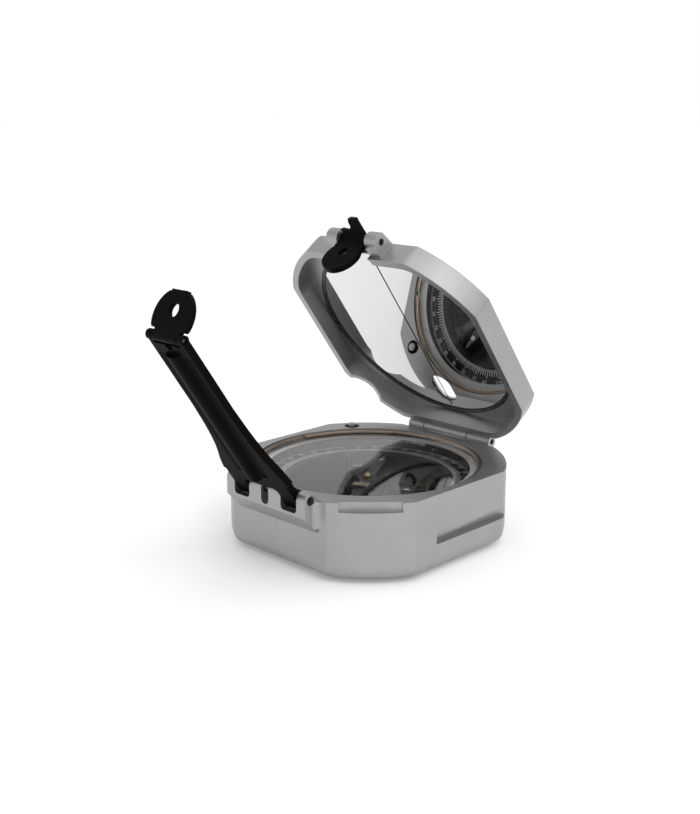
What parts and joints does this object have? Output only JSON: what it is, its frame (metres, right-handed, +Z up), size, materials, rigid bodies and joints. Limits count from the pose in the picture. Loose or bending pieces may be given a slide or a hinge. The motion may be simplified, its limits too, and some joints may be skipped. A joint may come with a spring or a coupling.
{
  "type": "sighting compass",
  "caption": "Pocket sighting compass: eight-sided case with a hinged mirror lid, a folding sight arm with a peep sight, a magnetic needle, a turning graduated circle and a clinometer.",
  "frame": {"origin": "centre of the underside of the bottom plate, where the instrument rests and where a tripod clamp bears", "axes": "+Z up through the needle's pivot, +Y from the sight arm's hinge to the lid's hinge, +X to the right seen from the sight arm"},
  "size_m": [0.071, 0.113, 0.0931],
  "materials": {
    "satin_aluminium": "bead-blasted, satin",
    "base_plate": "bead-blasted, darker",
    "steel": "polished",
    "needle_steel": "white painted north half, blued south half",
    "black_metal": "black anodised, satin",
    "seal": "matt, light grey",
    "rubber": "matt",
    "crystal": "clear, polished",
    "copper": "polished copper",
    "brass": "turned",
    "dial": "black with white graduations",
    "vial_glass": "clear, yellow-green liquid",
    "mirror_glass": "silvered glass"
  },
  "bodies": {
    "case": {"case_body": "satin_aluminium", "bottom_plate": "base_plate", "bottom_plate_screw_1": "steel", "bottom_plate_screw_2": "steel", "bottom_plate_screw_3": "steel", "bottom_plate_screw_4": "steel", "arm_hinge_pin": "steel", "lid_hinge_pin": "steel", "crystal_seal": "seal", "crystal_glass": "crystal", "crystal_snap_ring": "copper", "index_pin": "brass", "lift_pin_collar": "black_metal", "lift_lever_bracket": "black_metal", "lift_lever_pin": "steel", "round_level_cup": "black_metal", "round_level_vial": "vial_glass"},
    "graduated_circle": {"graduated_circle": "dial"},
    "declination_screw": {"declination_screw": "brass"},
    "needle": {"compass_needle": "needle_steel", "needle_cap": "brass", "needle_counterweight": "copper"},
    "clinometer": {"clinometer_shaft": "brass", "clinometer_plate": "steel", "long_level_holder": "black_metal", "long_level_vial": "vial_glass", "clinometer_lever": "steel"},
    "lift_pin": {"lift_pin": "satin_aluminium"},
    "lift_lever": {"needle_lift_lever": "steel"},
    "lid": {"lid_shell": "satin_aluminium", "mirror": "mirror_glass", "mirror_gasket": "rubber", "small_sight_pin": "steel"},
    "small_sight": {"small_sight": "black_metal"},
    "sight_arm": {"sight_arm": "black_metal", "peep_sight_pin": "steel"},
    "peep_sight": {"peep_sight": "black_metal"}
  },
  "joints": [
    {"name": "lid_hinge", "type": "hinge", "parent": "case", "child": "lid", "pos_m": [0, 0.0375, 0.0233], "axis": [-1, 0, 0], "range_deg": [-43, 117]},
    {"name": "small_sight_hinge", "type": "hinge", "parent": "lid", "child": "small_sight", "pos_m": [0, -0.00494, 0.08682], "axis": [1, 0, 0], "range_deg": [-80, 90]},
    {"name": "arm_hinge", "type": "hinge", "parent": "case", "child": "sight_arm", "pos_m": [0, -0.0379, 0.0228], "axis": [-1, 0, 0], "range_deg": [-56, 44]},
    {"name": "peep_sight_hinge", "type": "hinge", "parent": "sight_arm", "child": "peep_sight", "pos_m": [0, -0.07008, 0.06864], "axis": [-1, 0, 0], "range_deg": [-59, 31]},
    {"name": "lift_pin_press", "type": "slide", "parent": "case", "child": "lift_pin", "axis": [0, 0, -1], "range_m": [0, 0.0009], "stiffness_N_per_m": 250, "springref_m": -0.0006},
    {"name": "lift_lever_tilt", "type": "hinge", "parent": "case", "child": "lift_lever", "pos_m": [-0.01892, 0.01477, 0.0123], "axis": [-0.6153, -0.7883, 0], "range_deg": [-1, 5]},
    {"name": "needle_swing", "type": "hinge", "parent": "case", "child": "needle", "pos_m": [0, 0, 0.016], "axis": [0, 0, 1], "continuous": true},
    {"name": "circle_turn", "type": "hinge", "parent": "case", "child": "graduated_circle", "pos_m": [0, 0, 0.0165], "axis": [0, 0, 1], "range_deg": [-60, 60]},
    {"name": "declination_screw_turn", "type": "hinge", "parent": "case", "child": "declination_screw", "pos_m": [-0.02121, -0.02121, 0.0132], "axis": [-0.7071, -0.7071, 0], "range_deg": [-961, 961]},
    {"name": "clinometer_turn", "type": "hinge", "parent": "case", "child": "clinometer", "pos_m": [0, 0, 0.005], "axis": [0, 0, 1], "range_deg": [-90, 90]}
  ],
  "couplings": [
    {"joint": "lift_lever_tilt", "follows": "lift_pin_press", "rad_per_m": 80.601},
    {"joint": "declination_screw_turn", "follows": "circle_turn", "ratio": -16}
  ]
}
